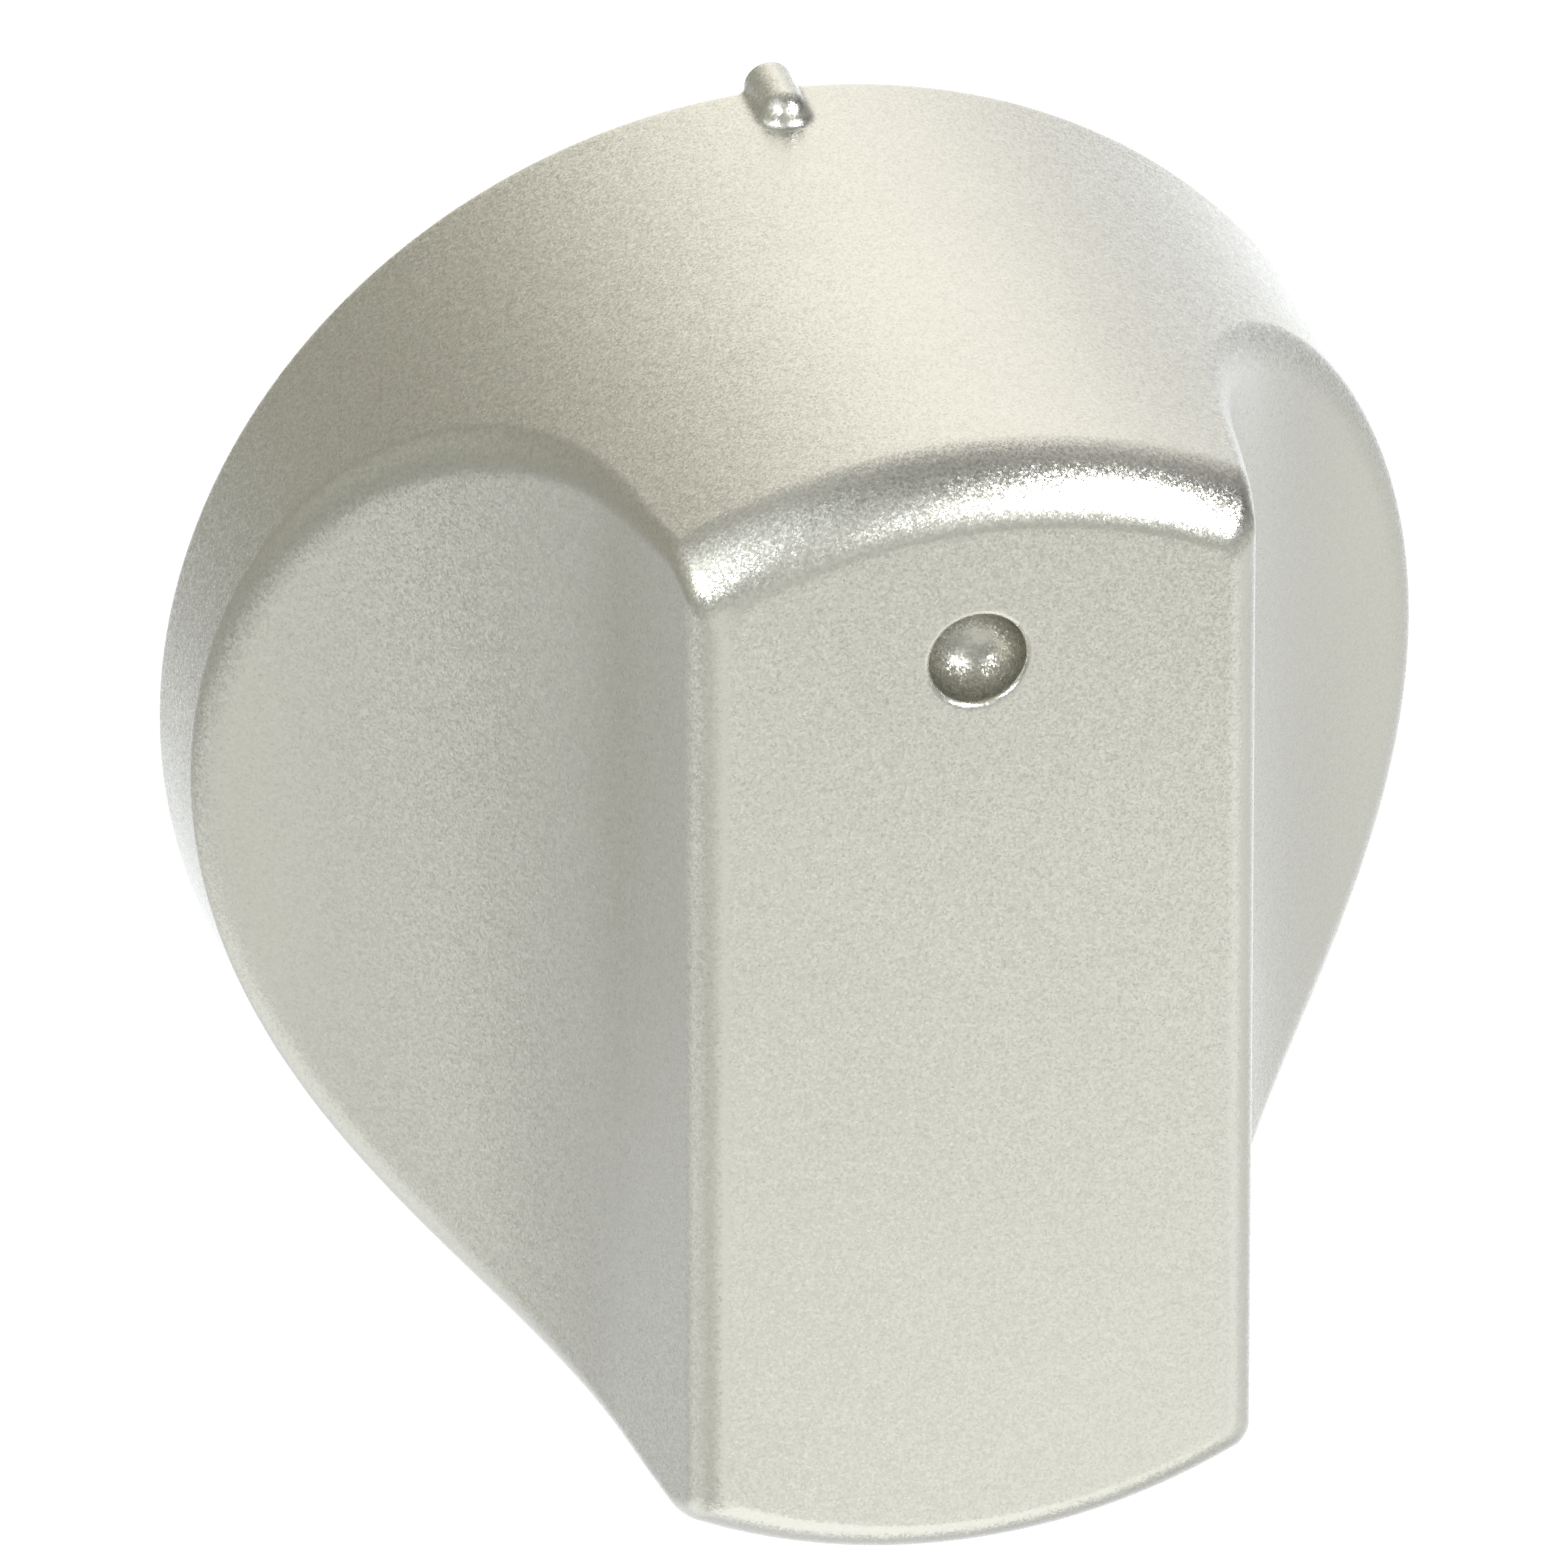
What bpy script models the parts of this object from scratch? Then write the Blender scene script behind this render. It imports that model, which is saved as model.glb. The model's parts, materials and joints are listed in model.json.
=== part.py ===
"""Cooker control knob.

A round skirt with a raised finger grip: two concave scoops are cut into the
sides of a slightly drafted cylinder and leave a wide upright blade between
them.  The blade's ends keep the cylinder's curve and its front face is flat.
A small rib on the rim and a round dimple in the face are the pointers.
Inside, a moulded hub carrier is heat-staked into the hollow shell.  Its split
tube has a D-bore for the appliance's spindle, with a leaf spring on the flat
and a spring-steel ring round the outside.

Every piece is modelled in millimetre numbers with the knob's axis along its
own +Z (rear rim at z = 0, front face towards +Z) and the pointer towards +Y.
An empty turns the whole knob so that its front faces -Y and the pointer +Z,
which is how it sits on an upright control panel.
"""
import math

import bmesh
import bpy
from mathutils import Vector

MM = 0.001

# ---------------------------------------------------------------- dimensions
# outside
BASE_R = 22.5            # radius of the rear rim
FRONT_R = 22.2           # radius of the same drafted cylinder at the front
HEIGHT = 28.6            # rear rim to front face
GRIP_HALF_W = 10.14      # half width of the blade at the front face's plane
GRIP_DRAFT = 8.6         # degrees, each flank opens towards the rear
SCOOP_TANGENT_Z = 21.6   # straight flank in front of this, arc behind it
SCOOP_R = 22.8           # radius of the concave scoop
FRONT_END_R = 2.1        # rounding from cylinder to front face, across
FRONT_END_Z = 3.0        # the same rounding, lengthwise
FRONT_END_POWER = 1.72   # below 2, so the arc leans towards a bevel
FRONT_SIDE_R = 1.2       # rounding from flank to front face
ARCH_R = (1.0, 0.55)     # rounding where scoop and cylinder meet, rear and front
ARCH_R_Z = (14.0, 24.0)  # the rounding tightens between these heights
RIM_R = 0.4              # rounding of the rear rim's outer edge
# inside
WALL = 2.2               # side wall
FRONT_WALL = 3.2         # front wall
INNER_ARCH_R = 0.8
RIM_CHAMFER = 0.3
# rim rib and face dimple
RIB_R = 0.88
RIB_AXIS_Y = 22.55
RIB_LENGTH = 2.1         # straight part, before its round front end
DIMPLE_Y = 15.03
DIMPLE_R = 1.76          # radius of its wall and of its ball-shaped bottom
DIMPLE_DEPTH = 2.12
DIMPLE_LIP = 0.24
# carrier
GAP = 0.3                # clearance between touching pieces
PLATE_REAR_Z = 13.5
PLATE_T = 2.0
PLATE_HALF_W = 9.9
PLATE_END_R = 19.7
HUB_R = 6.75
HUB_REAR_Z = 1.5
HUB_FRONT_Z = 24.6
BORE_R = 4.05            # for an 8 mm spindle
BORE_FLAT_Y = 2.55       # flat of the D
BORE_FLOOR_Z = 17.5
HUB_CORE_R = 4.0
HUB_CORE_Z = 19.6
SLOT_W = 1.1
SLOT_END_Z = 10.2
GROOVE_Z = (3.2, 5.8)
GROOVE_R = 6.1
REAR_RIB_X = 3.9
REAR_RIB_T = 1.4
REAR_RIB_H = 3.0
FRONT_RIB_X = 5.2
FRONT_RIB_T = 1.5
FRONT_RIB_L = 16.5
FRONT_RIB_Z = 24.6
STAKE_Y = 14.4
STAKE_BOSS_R = 2.2
STAKE_PIN_R = 1.2
STAKE_HEAD_R = 2.1
STAKE_HEAD_H = 1.0
# spring and ring
SPRING_W = 3.4
SPRING_T = 0.4
POCKET_HALF_W = 2.05
POCKET_Y = 4.75          # room for the spring to move outwards
POCKET_END_Z = 15.0
SPRING_REST_Y = 3.55     # its inner end, where it is held and hinges
RING_R = (6.4, 7.1)
RING_Z = (3.6, 5.4)
RING_SPLIT = 16.0        # degrees, half of the ring's opening

# ---------------------------------------------------------------- clean start
for _o in list(bpy.data.objects):
    bpy.data.objects.remove(_o, do_unlink=True)
for _m in list(bpy.data.meshes):
    bpy.data.meshes.remove(_m)
for _m in list(bpy.data.materials):
    bpy.data.materials.remove(_m)

frame = bpy.data.objects.new("knob_frame", None)
frame.rotation_euler = (math.radians(90.0), 0.0, 0.0)
bpy.context.scene.collection.objects.link(frame)


def make_material(name, colour, roughness, metallic):
    m = bpy.data.materials.new(name)
    m.use_nodes = True
    b = m.node_tree.nodes["Principled BSDF"]
    b.inputs["Base Color"].default_value = (*colour, 1.0)
    b.inputs["Roughness"].default_value = roughness
    b.inputs["Metallic"].default_value = metallic
    m.diffuse_color = (*colour, 1.0)
    return m


PAINT = make_material("satin_champagne_paint", (0.60, 0.588, 0.525), 0.32, 0.95)
NYLON = make_material("black_nylon", (0.025, 0.025, 0.027), 0.55, 0.0)
SPRING_STEEL = make_material("spring_steel", (0.42, 0.43, 0.45), 0.30, 1.0)
RING_STEEL = make_material("ring_steel", (0.50, 0.50, 0.50), 0.28, 1.0)


def add_object(name, bm, material=None, smooth=True, cutter=False):
    """Link a bmesh, in millimetre numbers, as an object under the frame."""
    bmesh.ops.scale(bm, vec=Vector((MM, MM, MM)), verts=bm.verts)
    bmesh.ops.recalc_face_normals(bm, faces=bm.faces)
    me = bpy.data.meshes.new(name)
    bm.to_mesh(me)
    bm.free()
    ob = bpy.data.objects.new(name, me)
    bpy.context.scene.collection.objects.link(ob)
    ob.parent = frame
    if material is not None:
        me.materials.append(material)
    if smooth:
        me.shade_smooth()
        me.set_sharp_from_angle(angle=math.radians(35.0))
    if cutter:
        ob.hide_render = True
        ob.display_type = "WIRE"
    return ob


def boolean(target, tool, operation):
    mod = target.modifiers.new(tool.name, "BOOLEAN")
    mod.operation = operation
    mod.object = tool
    mod.solver = "EXACT"


def turned(profile, segments, centre=(0.0, 0.0)):
    """Closed solid of revolution from (radius, z) points, ends on the axis."""
    bm = bmesh.new()
    rings = []
    for r, z in profile:
        if r < 1e-6:
            rings.append([bm.verts.new((centre[0], centre[1], z))])
        else:
            rings.append([bm.verts.new((centre[0] + r * math.cos(2 * math.pi * k / segments),
                                        centre[1] + r * math.sin(2 * math.pi * k / segments), z))
                          for k in range(segments)])
    for a, b in zip(rings, rings[1:]):
        for k in range(segments):
            q = [a[k % len(a)], a[(k + 1) % len(a)], b[(k + 1) % len(b)], b[k % len(b)]]
            q = [v for i, v in enumerate(q) if v not in q[:i]]
            if len(q) > 2:
                bm.faces.new(q)
    for ring, flip in ((rings[0], True), (rings[-1], False)):
        if len(ring) > 1:
            bm.faces.new(ring[::-1] if flip else ring)
    return bm


def extruded(outline, z0, z1):
    """Prism between z0 and z1 over a closed (x, y) outline."""
    bm = bmesh.new()
    low = [bm.verts.new((x, y, z0)) for x, y in outline]
    high = [bm.verts.new((x, y, z1)) for x, y in outline]
    n = len(outline)
    for k in range(n):
        bm.faces.new((low[k], low[(k + 1) % n], high[(k + 1) % n], high[k]))
    bm.faces.new(low[::-1])
    bm.faces.new(high)
    return bm


def block(x0, x1, y0, y1, z0, z1):
    return extruded([(x0, y0), (x1, y0), (x1, y1), (x0, y1)], z0, z1)


# ---------------------------------------------------------------- outer form
def scoop_half_width(z, inset):
    """Half width of the blade at height z: a drafted flank with a concave arc
    tangent to it.  inset moves the surface towards the axis by that much."""
    a = math.radians(GRIP_DRAFT)
    xt = GRIP_HALF_W + (HEIGHT - SCOOP_TANGENT_Z) * math.tan(a)
    cx = xt + SCOOP_R * math.cos(a)
    cz = SCOOP_TANGENT_Z + SCOOP_R * math.sin(a)
    r = SCOOP_R + inset
    if z >= cz - r * math.sin(a):
        return GRIP_HALF_W + (HEIGHT - z) * math.tan(a) - inset / math.cos(a)
    return cx - math.sqrt(max(r * r - (cz - z) ** 2, 0.0))


def round_off(z, top, r, run=None, power=2.0):
    """How far a rounded end draws in at height z; run is its length in z.
    A power under 2 flattens the middle of the arc towards a bevel."""
    run = run or r
    d = (z - (top - run)) / run
    return 0.0 if d <= 0.0 else r * (1.0 - max(1.0 - d ** power, 0.0) ** (1.0 / power))


def section_radius(theta, radius, half_w, r):
    """Polar radius of a circle cut by two flats at +-half_w in x, with the
    corners rounded."""
    c = abs(math.cos(theta))
    lo, hi = 0.0, radius
    for _ in range(48):
        m = 0.5 * (lo + hi)
        d1, d2 = m - radius, m * c - half_w
        a, b = max(d1 + r, 0.0), max(d2 + r, 0.0)
        g = math.hypot(a, b) - r if (a > 0.0 and b > 0.0) else max(d1, d2)
        lo, hi = (lo, m) if g > 0.0 else (m, hi)
    return 0.5 * (lo + hi)


FLAT_COLS, CORNER_COLS, ARC_COLS = 5, 4, 8


def quadrant_angles(radius, half_w, r):
    """Angles from +X to +Y: a few on the flat, a cluster on the corner and
    the rest on the arc."""
    half = min(half_w, math.sqrt(radius ** 2 - 8.0 ** 2))
    yc = math.sqrt(radius ** 2 - half ** 2)
    margin = min(1.1 * r, 0.5 * yc)
    ya = yc - margin
    t = [math.atan2(ya * k / FLAT_COLS, half) for k in range(FLAT_COLS)]
    t0 = math.atan2(ya, half)
    t1 = math.acos(half / radius) + margin / radius
    t += [t0 + (t1 - t0) * k / CORNER_COLS for k in range(CORNER_COLS)]
    t += [t1 + (math.pi / 2 - t1) * k / ARC_COLS for k in range(ARC_COLS)]
    return t


def section(z, radius, half_w, r):
    q = quadrant_angles(radius, half_w, r)
    full = q + [math.pi - t for t in ([math.pi / 2] + q[:0:-1])]
    full += [t + math.pi for t in full]
    out = []
    for t in full:
        p = section_radius(t, radius, half_w, r)
        out.append((p * math.cos(t), p * math.sin(t), z))
    return out


def drafted(z):
    return BASE_R + (FRONT_R - BASE_R) * z / HEIGHT


def arch_radius(z):
    t = min(max((z - ARCH_R_Z[0]) / (ARCH_R_Z[1] - ARCH_R_Z[0]), 0.0), 1.0)
    return ARCH_R[0] + (ARCH_R[1] - ARCH_R[0]) * t


def outer_section(z):
    return section(z, drafted(z) - round_off(z, HEIGHT, FRONT_END_R, FRONT_END_Z, FRONT_END_POWER),
                   scoop_half_width(z, 0.0) - round_off(z, HEIGHT, FRONT_SIDE_R), arch_radius(z))


INNER_TOP = HEIGHT - FRONT_WALL


def inner_section(z):
    return section(z, drafted(z) - WALL - round_off(z, INNER_TOP, 1.0),
                   scoop_half_width(z, WALL) - round_off(z, INNER_TOP, 1.0), INNER_ARCH_R)


def rim_section(z, radius):
    return section(z, radius, radius + 5.0, ARCH_R[0])


outer = [rim_section(0.0, BASE_R - RIM_R),
         rim_section(RIM_R * 0.3, BASE_R - RIM_R * 0.3),
         rim_section(RIM_R, drafted(RIM_R))]
for zz in (2.6, 4.4, 5.0, 5.5, 6.1, 7.0, 8.2, 9.8, 11.8, 14.2, 17.0, 19.6, 22.4, 24.8):
    outer.append(outer_section(zz))
for k in range(7):
    outer.append(outer_section(HEIGHT - FRONT_END_Z * (1.0 - math.sin(math.radians(15.0 * k)))))

inner = [rim_section(0.0, BASE_R - WALL + RIM_CHAMFER),
         rim_section(RIM_CHAMFER, drafted(RIM_CHAMFER) - WALL)]
for zz in (2.2, 3.4, 4.0, 4.7, 5.8, 7.6, 10.2, 13.6, 17.6, 21.6, INNER_TOP - 1.0):
    inner.append(inner_section(zz))
for k in (1, 2, 3):
    inner.append(inner_section(INNER_TOP - 1.0 + math.sin(math.radians(30.0 * k))))

bm = bmesh.new()
rows = [[bm.verts.new(p) for p in row] for row in inner[::-1] + outer]
cols = len(rows[0])
for a, b in zip(rows, rows[1:]):
    for k in range(cols):
        bm.faces.new((a[k], a[(k + 1) % cols], b[(k + 1) % cols], b[k]))
bm.faces.new(rows[0][::-1])
bm.faces.new(rows[-1])
shell = add_object("knob_shell", bm, PAINT)

# pointer rib on the rim, with a round front end
rib = [(0.0, 0.06), (RIB_R, 0.06)]
rib += [(RIB_R * math.cos(math.radians(a)), RIB_LENGTH + RIB_R * math.sin(math.radians(a)))
        for a in (0, 22.5, 45, 67.5)]
rib.append((0.0, RIB_LENGTH + RIB_R))
rim_rib = add_object("rim_rib_tool", turned(rib, 20, (0.0, RIB_AXIS_Y)), cutter=True)
boolean(shell, rim_rib, "UNION")

# bosses for the heat stakes, each with its pin and its formed head
for i, sy in enumerate((1.0, -1.0)):
    seat = PLATE_REAR_Z + PLATE_T + GAP
    head_top = PLATE_REAR_Z - GAP
    stake = [(0.0, head_top - STAKE_HEAD_H), (STAKE_HEAD_R * 0.62, head_top - STAKE_HEAD_H),
             (STAKE_HEAD_R * 0.93, head_top - STAKE_HEAD_H * 0.62),
             (STAKE_HEAD_R, head_top - STAKE_HEAD_H * 0.25), (STAKE_HEAD_R, head_top),
             (STAKE_PIN_R, head_top), (STAKE_PIN_R, seat), (STAKE_BOSS_R, seat),
             (STAKE_BOSS_R, INNER_TOP + 0.6), (0.0, INNER_TOP + 0.6)]
    tool = add_object("stake_tool_%d" % (i + 1), turned(stake, 20, (0.0, sy * STAKE_Y)), cutter=True)
    boolean(shell, tool, "UNION")

# dimple in the face: chamfered lip, short straight wall, ball-shaped bottom
ball_z = HEIGHT - DIMPLE_DEPTH + DIMPLE_R
dimple = [(0.0, HEIGHT - DIMPLE_DEPTH)]
for k in range(1, 7):
    a = math.radians(15.0 * k)
    dimple.append((DIMPLE_R * math.sin(a), ball_z - DIMPLE_R * math.cos(a)))
dimple += [(DIMPLE_R, HEIGHT - DIMPLE_LIP),
           (DIMPLE_R + 0.3 * DIMPLE_LIP, HEIGHT - 0.3 * DIMPLE_LIP), (DIMPLE_R + DIMPLE_LIP, HEIGHT),
           (DIMPLE_R + DIMPLE_LIP, HEIGHT + 1.0), (0.0, HEIGHT + 1.0)]
tool = add_object("dimple_tool", turned(dimple, 28, (0.0, DIMPLE_Y)), cutter=True)
boolean(shell, tool, "DIFFERENCE")

# ---------------------------------------------------------------- hub carrier
# stake plate: the cavity's outline at this height, smaller by the clearance
plate = extruded([(x, y) for x, y, _ in
                  section(0.0, PLATE_END_R, PLATE_HALF_W, 1.0)], PLATE_REAR_Z, PLATE_REAR_Z + PLATE_T)
carrier = add_object("hub_carrier", plate, NYLON)

tube = [(0.0, HUB_REAR_Z), (HUB_R - 0.4, HUB_REAR_Z), (HUB_R, HUB_REAR_Z + 0.4),
        (HUB_R, GROOVE_Z[0]), (GROOVE_R, GROOVE_Z[0]), (GROOVE_R, GROOVE_Z[1]), (HUB_R, GROOVE_Z[1]),
        (HUB_R, HUB_FRONT_Z), (0.0, HUB_FRONT_Z)]
tool = add_object("hub_tube_tool", turned(tube, 40), cutter=True)
boolean(carrier, tool, "UNION")

for i, sx in enumerate((1.0, -1.0)):
    xr = sx * REAR_RIB_X
    t = REAR_RIB_T / 2
    tool = add_object("rear_rib_tool_%d" % (i + 1),
                      block(xr - t, xr + t, -18.4, 18.4,
                            PLATE_REAR_Z - REAR_RIB_H, PLATE_REAR_Z + 0.5), cutter=True)
    boolean(carrier, tool, "UNION")
    xr = sx * FRONT_RIB_X
    t = FRONT_RIB_T / 2
    tool = add_object("front_rib_tool_%d" % (i + 1),
                      block(xr - t, xr + t, -FRONT_RIB_L, FRONT_RIB_L,
                            PLATE_REAR_Z + PLATE_T - 0.5, FRONT_RIB_Z - 0.2), cutter=True)
    boolean(carrier, tool, "UNION")

# D-bore, the spring's pocket beyond its flat, and the core at the front
flat_angle = math.asin(BORE_FLAT_Y / BORE_R)
start, sweep = math.pi - flat_angle, math.pi + 2.0 * flat_angle
d_outline = [(BORE_R * math.cos(start + sweep * k / 36), BORE_R * math.sin(start + sweep * k / 36))
             for k in range(37)]
tool = add_object("bore_tool", extruded(d_outline, HUB_REAR_Z - 1.0, BORE_FLOOR_Z), cutter=True)
boolean(carrier, tool, "DIFFERENCE")
tool = add_object("pocket_tool", block(-POCKET_HALF_W, POCKET_HALF_W, BORE_FLAT_Y - 1.0, POCKET_Y,
                                       HUB_REAR_Z - 1.0, POCKET_END_Z), cutter=True)
boolean(carrier, tool, "DIFFERENCE")
tool = add_object("core_tool", turned([(0.0, HUB_CORE_Z), (HUB_CORE_R, HUB_CORE_Z),
                                       (HUB_CORE_R, HUB_FRONT_Z + 1.0), (0.0, HUB_FRONT_Z + 1.0)], 28),
                  cutter=True)
boolean(carrier, tool, "DIFFERENCE")
tool = add_object("slot_tool", block(-HUB_R - 1.0, HUB_R + 1.0, -SLOT_W / 2, SLOT_W / 2,
                                     HUB_REAR_Z - 1.0, SLOT_END_Z), cutter=True)
boolean(carrier, tool, "DIFFERENCE")
for i, sy in enumerate((1.0, -1.0)):
    hole = turned([(0.0, PLATE_REAR_Z - 1.0), (STAKE_PIN_R + GAP, PLATE_REAR_Z - 1.0),
                   (STAKE_PIN_R + GAP, PLATE_REAR_Z + PLATE_T + 1.0),
                   (0.0, PLATE_REAR_Z + PLATE_T + 1.0)], 20, (0.0, sy * STAKE_Y))
    tool = add_object("stake_hole_tool_%d" % (i + 1), hole, cutter=True)
    boolean(carrier, tool, "DIFFERENCE")


# ---------------------------------------------------------------- leaf spring
def spring_path():
    """Centre line in (z, y): the inner end lies in the pocket, the middle
    bows towards the spindle and the rear end turns out over the hub's end."""
    z_in, z_out = POCKET_END_Z - 0.5, HUB_REAR_Z + 0.6
    y_rest = SPRING_REST_Y
    bow = y_rest - (BORE_FLAT_Y - 0.25)
    pts = []
    for k in range(15):
        s = k / 14.0
        pts.append((z_in + (z_out - z_in) * s, y_rest - bow * math.sin(math.pi * s) ** 2))
    turn = HUB_REAR_Z - GAP - SPRING_T / 2
    pts.append((HUB_REAR_Z + 0.12, y_rest + 0.05))
    pts.append((turn + 0.08, y_rest + 0.32))
    pts.append((turn, y_rest + 0.8))
    pts.append((turn, y_rest + 1.9))
    return pts


def strip(points, thickness, width):
    """Bent strip: the centre line made thick in its own plane and extruded."""
    left, right = [], []
    n = len(points)
    for i, (z, y) in enumerate(points):
        z0, y0 = points[max(i - 1, 0)]
        z1, y1 = points[min(i + 1, n - 1)]
        d = math.hypot(z1 - z0, y1 - y0)
        nz, ny = -(y1 - y0) / d, (z1 - z0) / d
        left.append((z + nz * thickness / 2, y + ny * thickness / 2))
        right.append((z - nz * thickness / 2, y - ny * thickness / 2))
    bm = bmesh.new()
    rows = []
    for (za, ya), (zb, yb) in zip(left, right):
        rows.append([bm.verts.new((-width / 2, ya, za)), bm.verts.new((width / 2, ya, za)),
                     bm.verts.new((width / 2, yb, zb)), bm.verts.new((-width / 2, yb, zb))])
    for a, b in zip(rows, rows[1:]):
        for k in range(4):
            bm.faces.new((a[k], a[(k + 1) % 4], b[(k + 1) % 4], b[k]))
    bm.faces.new(rows[0][::-1])
    bm.faces.new(rows[-1])
    return bm


add_object("spindle_leaf_spring", strip(spring_path(), SPRING_T, SPRING_W), SPRING_STEEL)

# ---------------------------------------------------------------- clamp ring
bm = bmesh.new()
rows = []
steps = 44
a0, a1 = -90.0 + RING_SPLIT, 270.0 - RING_SPLIT
b = 0.15
for k in range(steps + 1):
    t = math.radians(a0 + (a1 - a0) * k / steps)
    prof = [(RING_R[0], RING_Z[0] + b), (RING_R[0] + b, RING_Z[0]), (RING_R[1] - b, RING_Z[0]),
            (RING_R[1], RING_Z[0] + b), (RING_R[1], RING_Z[1] - b), (RING_R[1] - b, RING_Z[1]),
            (RING_R[0] + b, RING_Z[1]), (RING_R[0], RING_Z[1] - b)]
    rows.append([bm.verts.new((r * math.cos(t), r * math.sin(t), z)) for r, z in prof])
for a, c in zip(rows, rows[1:]):
    for k in range(8):
        bm.faces.new((a[k], a[(k + 1) % 8], c[(k + 1) % 8], c[k]))
bm.faces.new(rows[0][::-1])
bm.faces.new(rows[-1])
add_object("hub_clamp_ring", bm, RING_STEEL)
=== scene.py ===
"""Looks of the cooker control knob: fine meshes, materials, light, camera."""
import json
import math

import bmesh
import bpy
import numpy as np
from mathutils import Matrix, Vector

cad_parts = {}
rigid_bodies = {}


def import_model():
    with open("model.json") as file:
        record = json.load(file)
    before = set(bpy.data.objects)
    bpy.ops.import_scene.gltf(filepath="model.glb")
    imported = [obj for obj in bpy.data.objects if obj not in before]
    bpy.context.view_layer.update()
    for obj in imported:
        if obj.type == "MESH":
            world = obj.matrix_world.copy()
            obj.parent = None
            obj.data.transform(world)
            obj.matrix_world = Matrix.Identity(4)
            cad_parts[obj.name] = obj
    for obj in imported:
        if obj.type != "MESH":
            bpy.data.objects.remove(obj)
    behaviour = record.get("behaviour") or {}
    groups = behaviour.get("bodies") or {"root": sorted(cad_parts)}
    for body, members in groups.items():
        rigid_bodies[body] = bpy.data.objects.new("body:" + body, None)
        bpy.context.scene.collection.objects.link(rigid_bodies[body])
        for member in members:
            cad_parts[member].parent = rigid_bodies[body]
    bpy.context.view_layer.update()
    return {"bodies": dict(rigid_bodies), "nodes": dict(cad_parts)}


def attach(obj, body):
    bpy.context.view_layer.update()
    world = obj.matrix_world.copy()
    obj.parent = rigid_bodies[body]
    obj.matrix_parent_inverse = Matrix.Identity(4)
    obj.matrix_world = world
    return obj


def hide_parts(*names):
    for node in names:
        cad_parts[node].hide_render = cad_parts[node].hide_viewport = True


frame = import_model()
KNOB = "knob" if "knob" in frame["bodies"] else "root"
SPRING = "leaf_spring" if "leaf_spring" in frame["bodies"] else KNOB

MM = 0.001
# ------------------------------------------------------------ dimensions, mm
BASE_R, FRONT_R, HEIGHT = 22.5, 22.2, 28.6
GRIP_HALF_W, GRIP_DRAFT = 10.14, 8.6
SCOOP_TANGENT_Z, SCOOP_R = 21.6, 22.8
FRONT_END_R, FRONT_END_Z, FRONT_END_POWER = 2.1, 3.0, 1.72
FRONT_SIDE_R, RIM_R = 1.2, 0.4
ARCH_R, ARCH_R_Z = (1.0, 0.55), (14.0, 24.0)
WALL, FRONT_WALL, INNER_ARCH_R, RIM_CHAMFER = 2.2, 3.2, 0.8, 0.3
RIB_R, RIB_AXIS_Y, RIB_LENGTH, RIB_BLEND = 0.88, 22.55, 2.1, 0.38
DIMPLE_Y, DIMPLE_R, DIMPLE_DEPTH, DIMPLE_LIP = 15.03, 1.76, 2.12, 0.24
PLATE_REAR_Z, PLATE_T = 13.5, 2.0
STAKE_Y, STAKE_HEAD_R, STAKE_HEAD_H, STAKE_PIN_R, STAKE_BOSS_R, GAP = 14.4, 2.1, 1.0, 1.2, 2.2, 0.3
INNER_TOP = HEIGHT - FRONT_WALL


# ---------------------------------------------------------------- materials
def nodes_of(name):
    m = bpy.data.materials.new(name)
    m.use_nodes = True
    nt = m.node_tree
    return m, nt, nt.nodes["Principled BSDF"]


def add(nt, kind, **values):
    n = nt.nodes.new(kind)
    for k, v in values.items():
        if k in n.inputs:
            n.inputs[k].default_value = v
        else:
            setattr(n, k, v)
    return n


def noise(nt, coord, scale, detail=3.0, rough=0.55):
    n = add(nt, "ShaderNodeTexNoise")
    n.inputs["Scale"].default_value = scale
    n.inputs["Detail"].default_value = detail
    n.inputs["Roughness"].default_value = rough
    nt.links.new(coord, n.inputs["Vector"])
    return n


def ramp(nt, fac, lo, hi, out_lo, out_hi):
    r = add(nt, "ShaderNodeMapRange")
    r.inputs["From Min"].default_value = lo
    r.inputs["From Max"].default_value = hi
    r.inputs["To Min"].default_value = out_lo
    r.inputs["To Max"].default_value = out_hi
    nt.links.new(fac, r.inputs["Value"])
    return r.outputs["Result"]


def mix_colour(nt, fac, a, b):
    m = add(nt, "ShaderNodeMix", data_type="RGBA")
    if isinstance(a, tuple):
        m.inputs["A"].default_value = (*a, 1.0)
    else:
        nt.links.new(a, m.inputs["A"])
    if isinstance(b, tuple):
        m.inputs["B"].default_value = (*b, 1.0)
    else:
        nt.links.new(b, m.inputs["B"])
    # colour sockets of the Mix node are the RGBA pair
    nt.links.new(fac, m.inputs["Factor"])
    return m


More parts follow.
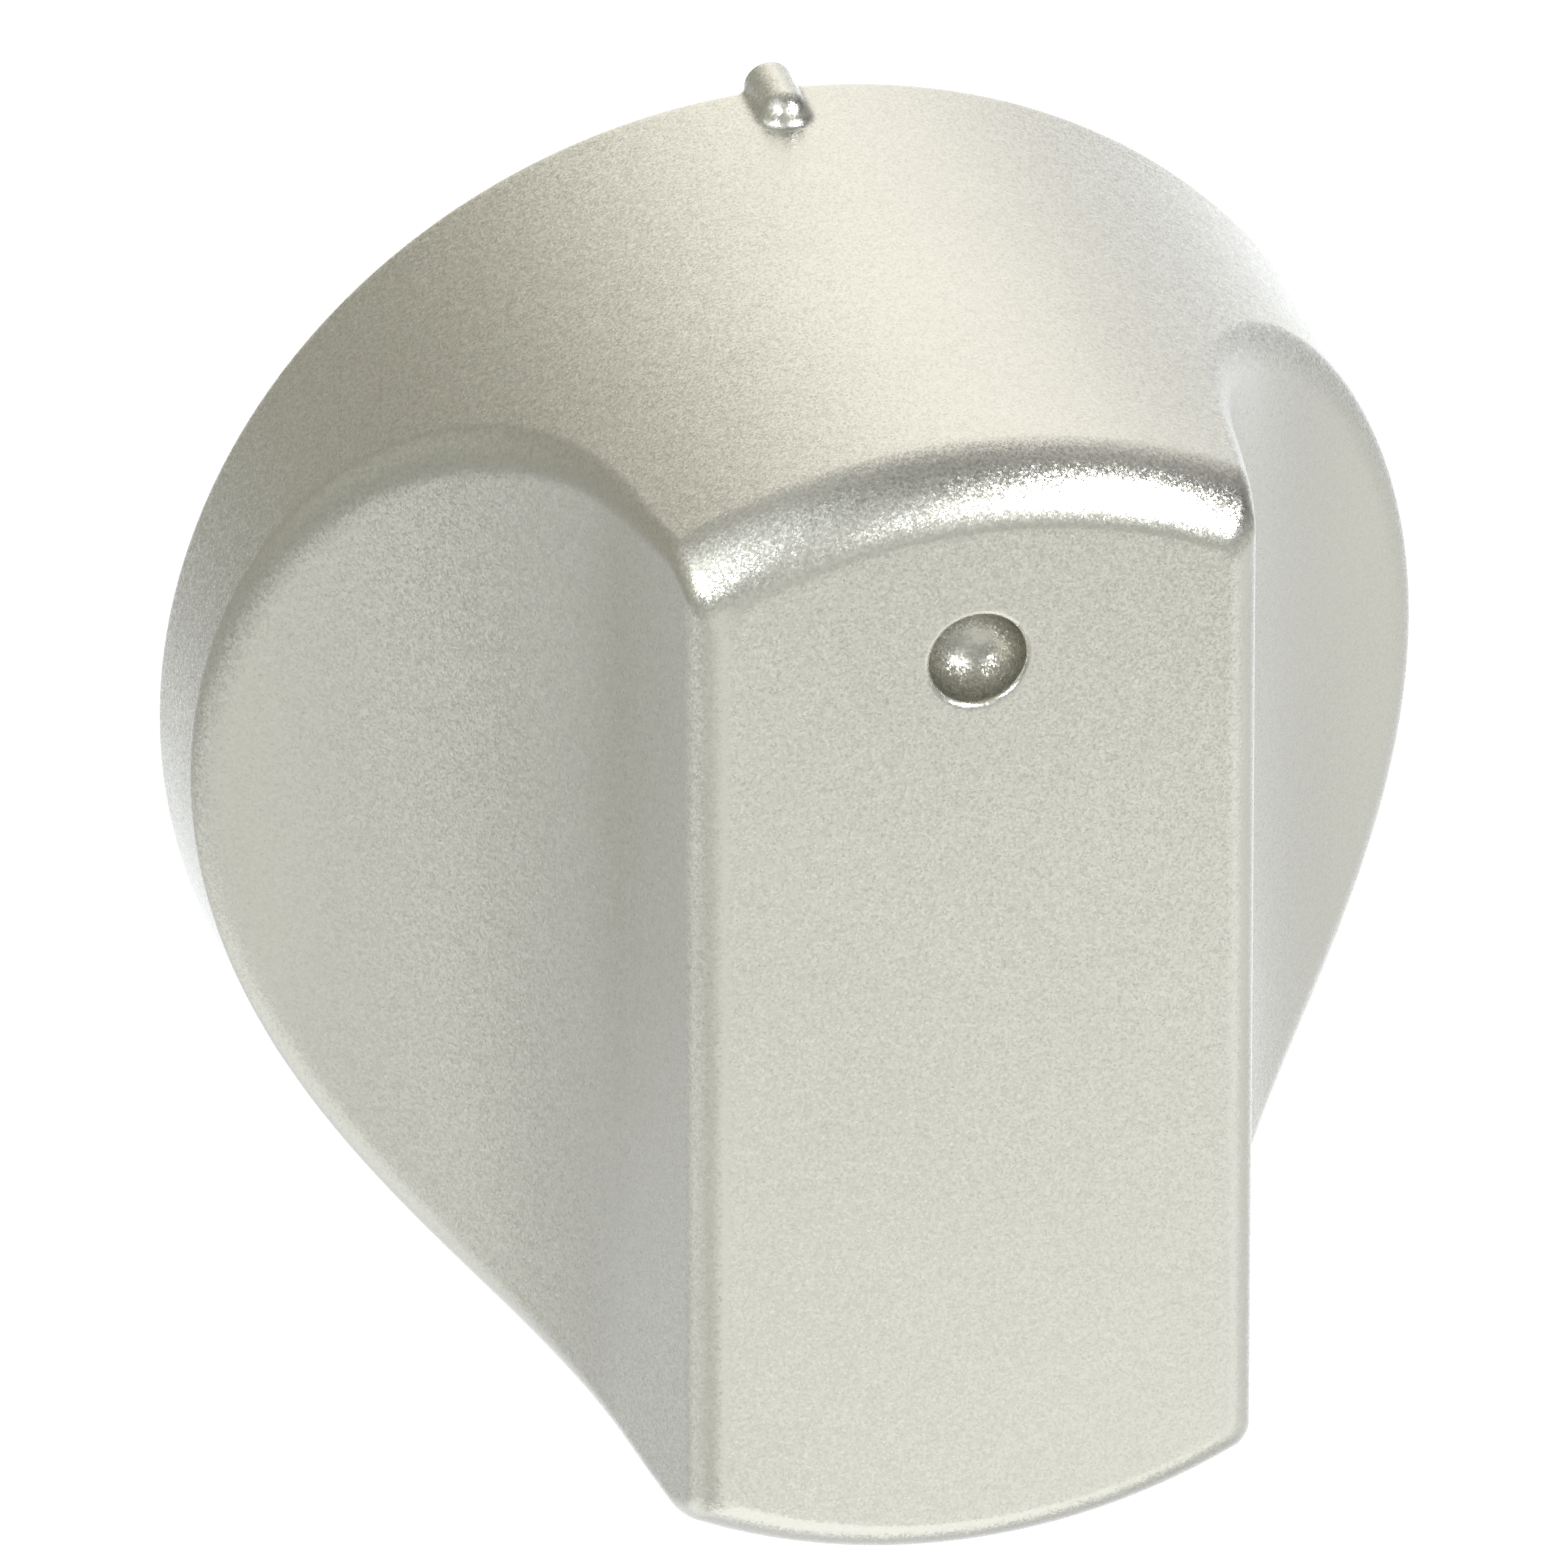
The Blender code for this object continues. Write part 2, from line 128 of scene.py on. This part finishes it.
def paint(name, base, roughness, metallic, flake=0.17):
    """Satin metallic paint: flakes tilt the surface a little at 0.1 mm, the
    tone drifts slowly, and the film has a faint orange peel."""
    m, nt, b = nodes_of(name)
    tc = add(nt, "ShaderNodeTexCoord").outputs["Object"]
    geo = add(nt, "ShaderNodeNewGeometry").outputs["Normal"]
    flakes = add(nt, "ShaderNodeTexVoronoi")
    flakes.inputs["Scale"].default_value = 15000.0
    nt.links.new(tc, flakes.inputs["Vector"])
    centre = add(nt, "ShaderNodeVectorMath", operation="SUBTRACT")
    nt.links.new(flakes.outputs["Color"], centre.inputs[0])
    centre.inputs[1].default_value = (0.5, 0.5, 0.5)
    amount = add(nt, "ShaderNodeVectorMath", operation="SCALE")
    nt.links.new(centre.outputs[0], amount.inputs[0])
    amount.inputs["Scale"].default_value = flake
    tilt = add(nt, "ShaderNodeVectorMath", operation="ADD")
    nt.links.new(geo, tilt.inputs[0])
    nt.links.new(amount.outputs[0], tilt.inputs[1])
    unit = add(nt, "ShaderNodeVectorMath", operation="NORMALIZE")
    nt.links.new(tilt.outputs[0], unit.inputs[0])
    peel = noise(nt, tc, 2600.0, 4.0, 0.6)
    bump = add(nt, "ShaderNodeBump")
    bump.inputs["Strength"].default_value = 0.35
    bump.inputs["Distance"].default_value = 0.00003
    nt.links.new(peel.outputs["Fac"], bump.inputs["Height"])
    nt.links.new(unit.outputs[0], bump.inputs["Normal"])
    nt.links.new(bump.outputs["Normal"], b.inputs["Normal"])
    drift = noise(nt, tc, 90.0, 3.0, 0.5)
    grain = noise(nt, tc, 7000.0, 2.0, 0.6)
    dark = tuple(c * 0.93 for c in base)
    light = tuple(min(1.0, c * 1.05) for c in base)
    tone = mix_colour(nt, ramp(nt, drift.outputs["Fac"], 0.3, 0.7, 0.0, 1.0), dark, base)
    tone2 = mix_colour(nt, ramp(nt, grain.outputs["Fac"], 0.35, 0.65, 0.0, 1.0),
                       tone.outputs["Result"], light)
    nt.links.new(tone2.outputs["Result"], b.inputs["Base Color"])
    b.inputs["Metallic"].default_value = metallic
    nt.links.new(ramp(nt, grain.outputs["Fac"], 0.3, 0.7, roughness - 0.05, roughness + 0.05),
                 b.inputs["Roughness"])
    return m


def nylon(name, base, overspray=False):
    """Moulded glass-filled nylon: dark, with pale fibre streaks at the skin."""
    m, nt, b = nodes_of(name)
    tc = add(nt, "ShaderNodeTexCoord").outputs["Object"]
    stretch = add(nt, "ShaderNodeVectorMath", operation="MULTIPLY")
    nt.links.new(tc, stretch.inputs[0])
    stretch.inputs[1].default_value = (1.0, 0.25, 1.0)
    fibre = noise(nt, stretch.outputs[0], 3800.0, 3.0, 0.65)
    cloud = noise(nt, tc, 260.0, 3.0, 0.5)
    tone = mix_colour(nt, ramp(nt, fibre.outputs["Fac"], 0.55, 0.8, 0.0, 0.8),
                      base, tuple(c * 2.2 + 0.01 for c in base))
    nt.links.new(tone.outputs["Result"], b.inputs["Base Color"])
    nt.links.new(ramp(nt, cloud.outputs["Fac"], 0.3, 0.7, 0.42, 0.6), b.inputs["Roughness"])
    bump = add(nt, "ShaderNodeBump")
    bump.inputs["Strength"].default_value = 0.4
    bump.inputs["Distance"].default_value = 0.00004
    nt.links.new(fibre.outputs["Fac"], bump.inputs["Height"])
    nt.links.new(bump.outputs["Normal"], b.inputs["Normal"])
    return m


def steel(name, base, roughness, along):
    """Rolled spring strip: fine lines along its length and a faint heat tint."""
    m, nt, b = nodes_of(name)
    tc = add(nt, "ShaderNodeTexCoord").outputs["Object"]
    stretch = add(nt, "ShaderNodeVectorMath", operation="MULTIPLY")
    nt.links.new(tc, stretch.inputs[0])
    stretch.inputs[1].default_value = along
    lines = noise(nt, stretch.outputs[0], 9000.0, 3.0, 0.6)
    tint = noise(nt, tc, 350.0, 2.0, 0.5)
    tone = mix_colour(nt, ramp(nt, tint.outputs["Fac"], 0.35, 0.65, 0.0, 1.0),
                      base, tuple(c * f for c, f in zip(base, (0.90, 0.84, 0.76))))
    nt.links.new(tone.outputs["Result"], b.inputs["Base Color"])
    b.inputs["Metallic"].default_value = 1.0
    nt.links.new(ramp(nt, lines.outputs["Fac"], 0.3, 0.7, roughness - 0.08, roughness + 0.08),
                 b.inputs["Roughness"])
    bump = add(nt, "ShaderNodeBump")
    bump.inputs["Strength"].default_value = 0.3
    bump.inputs["Distance"].default_value = 0.00002
    nt.links.new(lines.outputs["Fac"], bump.inputs["Height"])
    nt.links.new(bump.outputs["Normal"], b.inputs["Normal"])
    return m


PAINT_BASE = (0.60, 0.588, 0.525)
PAINT = paint("satin_champagne_paint", PAINT_BASE, 0.30, 0.97)
# the dimple paint is 0.88 times darker, which is painted shade in the recess; it is also a little smoother
# and has stronger flakes
DIMPLE_PAINT_WITH_SHADE = paint("dimple_champagne_paint_painted_shade", tuple(c * 0.88 for c in PAINT_BASE), 0.29, 0.97, flake=0.22)
INSIDE = nylon("unpainted_moulding", (0.075, 0.075, 0.075))
NYLON = nylon("black_nylon", (0.022, 0.022, 0.024))
SPRING_STEEL = steel("spring_steel", (0.56, 0.57, 0.58), 0.28, (1.0, 0.06, 1.0))
RING_STEEL = steel("ring_steel", (0.62, 0.62, 0.61), 0.26, (0.35, 1.0, 0.35))

# ---------------------------------------------------------------- the shell


def half_width(z, inset):
    a = math.radians(GRIP_DRAFT)
    xt = GRIP_HALF_W + (HEIGHT - SCOOP_TANGENT_Z) * math.tan(a)
    cx, cz = xt + SCOOP_R * math.cos(a), SCOOP_TANGENT_Z + SCOOP_R * math.sin(a)
    r = SCOOP_R + inset
    if z >= cz - r * math.sin(a):
        return GRIP_HALF_W + (HEIGHT - z) * math.tan(a) - inset / math.cos(a)
    return cx - math.sqrt(max(r * r - (cz - z) ** 2, 0.0))


def round_off(z, top, r, run=None, power=2.0):
    """How far a rounded end draws in at height z; run is its length in z.
    A power under 2 flattens the middle of the arc towards a bevel."""
    run = run or r
    d = (z - (top - run)) / run
    return 0.0 if d <= 0.0 else r * (1.0 - max(1.0 - d ** power, 0.0) ** (1.0 / power))


def drafted(z):
    return BASE_R + (FRONT_R - BASE_R) * z / HEIGHT


FLAT, CORNER, ARC, DENSE = 26, 22, 34, 36


def column_angles(radius, half_w, r):
    """Angles round the whole section: dense at the corners and at the rib."""
    half = min(half_w, math.sqrt(radius ** 2 - 8.0 ** 2))
    yc = math.sqrt(radius ** 2 - half ** 2)
    margin = min(1.35 * r, 0.5 * yc)
    ya = yc - margin
    t0, t1 = math.atan2(ya, half), math.acos(half / radius) + 1.2 * margin / radius
    t2 = math.pi / 2 - math.radians(4.9)
    q = [math.atan2(ya * k / FLAT, half) for k in range(FLAT)]
    q += [t0 + (t1 - t0) * k / CORNER for k in range(CORNER)]
    q += [t1 + (t2 - t1) * k / ARC for k in range(ARC)]
    q += [t2 + (math.pi / 2 - t2) * k / DENSE for k in range(DENSE)]
    full = q + [math.pi - t for t in ([math.pi / 2] + q[:0:-1])]
    return np.array(full + [t + math.pi for t in full])


def section(radius, half_w, r):
    """(angles, polar radii) of a circle cut by two flats, corners rounded."""
    t = column_angles(radius, half_w, r)
    c = np.abs(np.cos(t))
    lo, hi = np.zeros_like(t), np.full_like(t, radius)
    for _ in range(44):
        m = 0.5 * (lo + hi)
        a, b = m - radius + r, m * c - half_w + r
        g = np.where((a > 0) & (b > 0), np.hypot(np.maximum(a, 0), np.maximum(b, 0)), np.maximum(a, b)) - r
        lo, hi = np.where(g > 0, lo, m), np.where(g > 0, m, hi)
    return t, 0.5 * (lo + hi)


def with_rib(t, p, z):
    """Adds the pointer rib at the top of the rim, blended into the skirt: the
    outermost point along each ray that lies on the two rounded together."""
    near = np.abs(t - math.pi / 2) < math.radians(7.0)
    if z > RIB_LENGTH + RIB_R + 1.1 or not near.any():
        return p
    over = 0.9 * max(z - RIB_LENGTH, 0.0)               # a slightly drawn-out nose
    blend = RIB_BLEND

    def outside(rho):
        x = rho * np.cos(t[near])
        y = rho * np.sin(t[near])
        rib = np.sqrt(x ** 2 + (y - RIB_AXIS_Y) ** 2 + over ** 2) - RIB_R
        skirt = rho - p[near]
        h = np.maximum(blend - np.abs(rib - skirt), 0.0) / blend
        return np.minimum(rib, skirt) - h * h * blend * 0.25

    hi = np.full(near.sum(), 24.2)
    found = p[near].copy()
    open_ = np.ones(near.sum(), bool)
    for k in range(1, 121):                      # march in from outside
        rho = hi - k * 0.02
        hit = open_ & ((outside(rho) <= 0.0) | (rho <= p[near]))
        found[hit] = np.maximum(rho[hit], p[near][hit])
        open_ &= ~hit
    lo, up = found.copy(), found + 0.02
    for _ in range(20):
        m = 0.5 * (lo + up)
        o = outside(m) > 0.0
        up = np.where(o, m, up)
        lo = np.where(o, lo, m)
    q = p.copy()
    q[near] = np.maximum(0.5 * (lo + up), p[near])
    return q


def arch_radius(z):
    t = min(max((z - ARCH_R_Z[0]) / (ARCH_R_Z[1] - ARCH_R_Z[0]), 0.0), 1.0)
    return ARCH_R[0] + (ARCH_R[1] - ARCH_R[0]) * t


def outer_row(z):
    t, p = section(drafted(z) - round_off(z, HEIGHT, FRONT_END_R, FRONT_END_Z, FRONT_END_POWER),
                   half_width(z, 0.0) - round_off(z, HEIGHT, FRONT_SIDE_R), arch_radius(z))
    p = with_rib(t, p, z)
    return np.c_[p * np.cos(t), p * np.sin(t), np.full_like(t, z)]


def rim_row(z, radius, rib=True):
    t, p = section(radius, radius + 5.0, ARCH_R[0])
    if rib:
        p = with_rib(t, p, max(z, 0.0))
    return np.c_[p * np.cos(t), p * np.sin(t), np.full_like(t, z)]


def inner_row(z):
    t, p = section(drafted(z) - WALL - round_off(z, INNER_TOP, 1.0),
                   half_width(z, WALL) - round_off(z, INNER_TOP, 1.0), INNER_ARCH_R)
    return np.c_[p * np.cos(t), p * np.sin(t), np.full_like(t, z)]


def graded(stops):
    """z levels from (start, end, step) runs."""
    out = []
    for a, b, s in stops:
        n = max(1, int(round((b - a) / s)))
        out += [a + (b - a) * k / n for k in range(n)]
    return out + [stops[-1][1]]


outer = [rim_row(RIM_R * (1 - math.sin(math.radians(a))), BASE_R - RIM_R * (1 - math.cos(math.radians(a))))
         for a in (90, 75, 60, 45, 30, 15)]
for z in graded([(RIM_R, 1.4, 0.2), (1.4, 2.6, 0.08), (2.6, 3.5, 0.025),
                 (3.5, 4.2, 0.1), (4.2, 8.0, 0.1),
                 (8.0, 20.0, 0.3), (20.0, HEIGHT - FRONT_END_Z, 0.4)])[:-1]:
    outer.append(outer_row(z))
for k in range(0, 41):
    outer.append(outer_row(HEIGHT - FRONT_END_Z * (1 - math.sin(math.radians(90.0 * k / 40)))))

inner = [rim_row(0.0, BASE_R - WALL + RIM_CHAMFER, False)]
for a in (30, 60, 90):
    inner.append(rim_row(RIM_CHAMFER * math.sin(math.radians(a)) , BASE_R - WALL + RIM_CHAMFER * (1 - math.sin(math.radians(a))), False))
for z in graded([(0.8, 3.4, 0.6), (3.4, 6.0, 0.26), (6.0, 24.0, 1.0), (24.0, INNER_TOP - 1.0, 0.6)]):
    inner.append(inner_row(z))
for k in (1, 2, 3, 4, 5, 6):
    inner.append(inner_row(INNER_TOP - 1.0 + math.sin(math.radians(15.0 * k))))


def to_row(p):
    """Knob numbers (x, y up, z towards the front), mm, to the row's frame."""
    return (p[0] * MM, -p[2] * MM, p[1] * MM)


def finish_mesh(bm, name, materials, body, replaced, angle=40.0):
    me = bpy.data.meshes.new(name)
    bm.to_mesh(me)
    bm.free()
    for m in materials:
        me.materials.append(m)
    ob = bpy.data.objects.new(name, me)
    bpy.context.scene.collection.objects.link(ob)
    me.shade_smooth()
    me.set_sharp_from_angle(angle=math.radians(angle))
    if replaced:
        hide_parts(*replaced)
    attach(ob, body)
    return ob


def build_shell():
    bm = bmesh.new()
    stack = [(r, 1) for r in inner[::-1]] + [(r, 0) for r in outer]
    rows = [[bm.verts.new(to_row(p)) for p in r] for r, _ in stack]
    n = len(rows[0])
    for i, (a, b) in enumerate(zip(rows, rows[1:])):
        mat = 1 if (stack[i][1] and stack[i + 1][1]) else 0
        for k in range(n):
            f = bm.faces.new((a[k], a[(k + 1) % n], b[(k + 1) % n], b[k]))
            f.material_index = mat
    f = bm.faces.new(rows[0][::-1])
    f.material_index = 1
    # front face: a narrow flat margin, then a sheet with the dimple
    last = rows[-1]
    margin = []
    for v in last:
        x, z = v.co.x, v.co.z
        margin.append(bm.verts.new((x * 0.985, v.co.y, z * 0.985)))
    for k in range(n):
        bm.faces.new((last[k], last[(k + 1) % n], margin[(k + 1) % n], margin[k]))
    # rounded lip, short straight wall, ball-shaped bottom
    segs = 96
    lip, ball = DIMPLE_LIP, DIMPLE_R
    sink = DIMPLE_DEPTH - ball                       # ball centre below the face
    prof = [(ball + lip + 0.6, 0.0), (ball + lip + 0.12, 0.0), (ball + lip, 0.0)]
    for k in range(1, 11):
        a = math.pi / 2 * k / 10.0
        prof.append((ball + lip - lip * math.sin(a), -lip + lip * math.cos(a)))
    for k in range(0, 30):
        a = math.pi / 2 * (1 - k / 30.0)
        prof.append((ball * math.sin(a), -sink - ball * math.cos(a)))
    rings = []
    for r, d in prof:
        rings.append([bm.verts.new(to_row((r * math.cos(2 * math.pi * k / segs),
                                           DIMPLE_Y + r * math.sin(2 * math.pi * k / segs), HEIGHT + d)))
                      for k in range(segs)])
    for a, b in zip(rings, rings[1:]):
        for k in range(segs):
            f = bm.faces.new((a[k], a[(k + 1) % segs], b[(k + 1) % segs], b[k]))
            # the dimple's walls and bottom get the darker paint: painted shade in the recess
            f.material_index = 2 if rings.index(a) > 10 else 0
    pole = bm.verts.new(to_row((0.0, DIMPLE_Y, HEIGHT - DIMPLE_DEPTH)))
    for k in range(segs):
        bm.faces.new((rings[-1][k], rings[-1][(k + 1) % segs], pole)).material_index = 2
    edges = []
    for loop in (margin, rings[0]):
        for k in range(len(loop)):
            e = bm.edges.get((loop[k], loop[(k + 1) % len(loop)]))
            edges.append(e)
    bmesh.ops.triangle_fill(bm, use_beauty=True, use_dissolve=False, edges=edges)
    bmesh.ops.recalc_face_normals(bm, faces=bm.faces)
    return finish_mesh(bm, "shell_skin", [PAINT, INSIDE, DIMPLE_PAINT_WITH_SHADE], KNOB, ["knob_shell"], 38.0)


shell = build_shell()


def build_stake(name, side):
    """Boss on the inside of the face, with its pin and its formed head."""
    seat, top = PLATE_REAR_Z + PLATE_T + GAP, PLATE_REAR_Z - GAP
    r, h = STAKE_HEAD_R, STAKE_HEAD_H
    prof = [(0.0, top - h + 0.16)]                  # small dent left by the tool
    prof += [(0.34 * r, top - h + 0.12), (0.42 * r, top - h + 0.02), (0.5 * r, top - h)]
    for k in range(1, 9):
        a = math.pi / 2 * k / 9
        prof.append((0.5 * r + 0.5 * r * math.sin(a), top - h + (h - 0.12) * (1 - math.cos(a))))
    prof += [(r, top - 0.1), (r - 0.03, top - 0.03), (r - 0.1, top), (STAKE_PIN_R + 0.1, top),
             (STAKE_PIN_R, top + 0.1), (STAKE_PIN_R, seat - 0.1), (STAKE_PIN_R + 0.1, seat),
             (STAKE_BOSS_R - 0.25, seat), (STAKE_BOSS_R - 0.07, seat + 0.07), (STAKE_BOSS_R, seat + 0.25),
             (STAKE_BOSS_R + 0.1, INNER_TOP - 0.9)]
    for k in range(1, 7):
        a = math.pi / 2 * k / 6
        prof.append((STAKE_BOSS_R + 0.1 + 0.8 * (1 - math.cos(a)), INNER_TOP - 0.9 + 0.8 * math.sin(a)))
    prof += [(STAKE_BOSS_R + 0.9, INNER_TOP + 0.2), (0.0, INNER_TOP + 0.2)]
    bm = bmesh.new()
    segs = 56
    rings = []
    for rad, z in prof:
        if rad == 0.0:
            rings.append([bm.verts.new(to_row((0.0, side * STAKE_Y, z)))] * segs)
        else:
            rings.append([bm.verts.new(to_row((rad * math.cos(2 * math.pi * k / segs),
                                               side * STAKE_Y + rad * math.sin(2 * math.pi * k / segs), z)))
                          for k in range(segs)])
    for a, b in zip(rings, rings[1:]):
        for k in range(segs):
            k2 = (k + 1) % segs
            ring = [a[k], a[k2], b[k2], b[k]]
            bm.faces.new([v for i, v in enumerate(ring) if v not in ring[:i]])
    bmesh.ops.recalc_face_normals(bm, faces=bm.faces)
    return finish_mesh(bm, name, [INSIDE], KNOB, [], 32.0)


stakes = [build_stake("heat_stake_upper", 1.0), build_stake("heat_stake_lower", -1.0)]

# ------------------------------------------------- the CAD nodes that stay
for node, mat in (("hub_carrier", NYLON), ("spindle_leaf_spring", SPRING_STEEL),
                  ("hub_clamp_ring", RING_STEEL)):
    ob = frame["nodes"][node]
    for s in ob.material_slots:
        s.material = mat
    if not ob.material_slots:
        ob.data.materials.append(mat)
    if node != "spindle_leaf_spring":
        soft = ob.modifiers.new("edge_break", "BEVEL")
        soft.width = 0.00014 if node == "hub_carrier" else 0.00008
        soft.segments = 2
        soft.limit_method = "ANGLE"
        soft.angle_limit = math.radians(40.0)
        soft.use_clamp_overlap = True
        soft.harden_normals = False

# ---------------------------------------------------------------- the stage
scene = bpy.context.scene
scene.view_settings.view_transform = "Standard"
scene.view_settings.look = "None"

# Studio surround: broad soft lobes of light, given as azimuth and elevation
# (0, 0 is straight in front of the knob, positive azimuth to its right) and
# colour.  The camera itself sees plain white.
LOBE_WIDTH = 8.0
SURROUND = [
    (25, 34, (1.15, 1.17, 1.16)), (163, 31, (1.43, 1.41, 1.40)), (-92, 16, (0.37, 0.385, 0.33)),
    (-177, 11, (0.22, 0.20, 0.09)), (-125, 4, (0.28, 0.27, 0.235)), (-20, -11, (0.845, 0.86, 0.835)),
    (33, -18, (0.21, 0.215, 0.21)), (170, -21, (1.66, 1.72, 1.83)), (-52, -23, (0.45, 0.455, 0.44)),
    (85, -26, (0.75, 0.76, 0.74)), (0, -31, (0.166, 0.163, 0.15)), (138, -34, (0.695, 0.71, 0.755)),
    (53, -40, (0.46, 0.48, 0.50)), (-80, 54, (1.47, 1.52, 1.54)), (-117, -54, (1.18, 1.21, 1.23)),
    (20, -59, (0.20, 0.19, 0.15)), (-10, -84, (0.60, 0.61, 0.63)),
]


def direction(azimuth, elevation):
    a, e = math.radians(azimuth), math.radians(elevation)
    return Vector((math.sin(a) * math.cos(e), -math.cos(a) * math.cos(e), math.sin(e)))


world = bpy.data.worlds.new("studio")
scene.world = world
world.use_nodes = True
wnt = world.node_tree
surround = wnt.nodes["Background"]
look = add(wnt, "ShaderNodeTexCoord").outputs["Generated"]
total = None
for az, el, colour in SURROUND:
    dot = add(wnt, "ShaderNodeVectorMath", operation="DOT_PRODUCT")
    wnt.links.new(look, dot.inputs[0])
    dot.inputs[1].default_value = direction(az, el)
    fall = add(wnt, "ShaderNodeMath", operation="MULTIPLY_ADD")
    wnt.links.new(dot.outputs["Value"], fall.inputs[0])
    fall.inputs[1].default_value = LOBE_WIDTH
    fall.inputs[2].default_value = -LOBE_WIDTH
    lobe = add(wnt, "ShaderNodeMath", operation="EXPONENT")
    wnt.links.new(fall.outputs[0], lobe.inputs[0])
    tinted = add(wnt, "ShaderNodeVectorMath", operation="SCALE")
    tinted.inputs[0].default_value = colour
    wnt.links.new(lobe.outputs[0], tinted.inputs["Scale"])
    if total is None:
        total = tinted.outputs[0]
    else:
        both = add(wnt, "ShaderNodeVectorMath", operation="ADD")
        wnt.links.new(total, both.inputs[0])
        wnt.links.new(tinted.outputs[0], both.inputs[1])
        total = both.outputs[0]
wnt.links.new(total, surround.inputs["Color"])
white = add(wnt, "ShaderNodeBackground")
white.inputs["Color"].default_value = (1.0, 1.0, 1.0, 1.0)
choose = add(wnt, "ShaderNodeMixShader")
wnt.links.new(add(wnt, "ShaderNodeLightPath").outputs["Is Camera Ray"], choose.inputs["Fac"])
wnt.links.new(surround.outputs[0], choose.inputs[1])
wnt.links.new(white.outputs[0], choose.inputs[2])
wnt.links.new(choose.outputs[0], wnt.nodes["World Output"].inputs["Surface"])

bm = bmesh.new()
bmesh.ops.create_grid(bm, x_segments=1, y_segments=1, size=3.0)
me = bpy.data.meshes.new("floor")
bm.to_mesh(me)
bm.free()
floor = bpy.data.objects.new("floor", me)
floor.location = (0.0, 0.0, -0.16)
scene.collection.objects.link(floor)
fm, fnt, fb = nodes_of("floor_white")
fb.inputs["Base Color"].default_value = (0.05, 0.05, 0.05, 1.0)
fb.inputs["Roughness"].default_value = 0.9
fb.inputs["Emission Color"].default_value = (1.0, 1.0, 1.0, 1.0)
fb.inputs["Emission Strength"].default_value = 1.0
fb.inputs["Specular IOR Level"].default_value = 0.0
me.materials.append(fm)
# the surround already holds the light that comes up from below
floor.visible_glossy = False
floor.visible_diffuse = False
floor.visible_shadow = False


def softbox(name, azimuth, elevation, distance, size, power, colour, target=(0.0, -0.014, 0.0)):
    """A round area light, aimed at the middle of the knob."""
    d = direction(azimuth, elevation)
    light = bpy.data.lights.new(name, "AREA")
    light.shape = "DISK"
    light.size = size
    light.energy = power
    light.color = colour
    ob = bpy.data.objects.new(name, light)
    ob.location = Vector(target) + d * distance
    ob.rotation_euler = d.to_track_quat("Z", "Y").to_euler()
    ob.visible_camera = False
    scene.collection.objects.link(ob)
    return ob


softbox("key_right_high", 64, 52, 0.5, 0.12, 0.98, (0.96, 0.98, 1.0))
softbox("key_right_low", 47, 33, 0.5, 0.20, 0.78, (0.94, 0.96, 1.0))
softbox("key_right_inner", 24, 46, 0.5, 0.14, 0.20, (0.94, 0.96, 1.0))
softbox("key_left", -59, 41, 0.5, 0.19, 1.10, (0.96, 0.98, 1.0))
softbox("near_left", -80, -35, 0.12, 0.09, 0.0062, (0.96, 0.97, 1.0))
softbox("near_front", 0, -35, 0.12, 0.09, 0.0066, (0.95, 0.96, 1.0))
softbox("near_below", 0, -65, 0.12, 0.09, 0.0145, (0.93, 0.96, 1.0))
softbox("near_right", 40, -35, 0.12, 0.09, 0.0087, (0.93, 0.96, 1.0))

# ---------------------------------------------------------------- the camera
cam = bpy.data.cameras.new("camera")
cam.sensor_width = 36.0
cam.lens = 898.3
cam.clip_start = 0.1
cam.clip_end = 6.0
co = bpy.data.objects.new("camera", cam)
right = Vector((0.96617, -0.25789, 0.0)).normalized()
up = Vector((0.13060, 0.48928, 0.86229))
back = Vector((-0.22238, -0.83312, 0.50641)).normalized()
up = back.cross(right).normalized()
co.matrix_world = Matrix(((right.x, up.x, back.x, -0.310836),
                          (right.y, up.y, back.y, -1.166711),
                          (right.z, up.z, back.z, 0.702894),
                          (0.0, 0.0, 0.0, 1.0)))
scene.collection.objects.link(co)
scene.camera = co

bpy.context.view_layer.update()
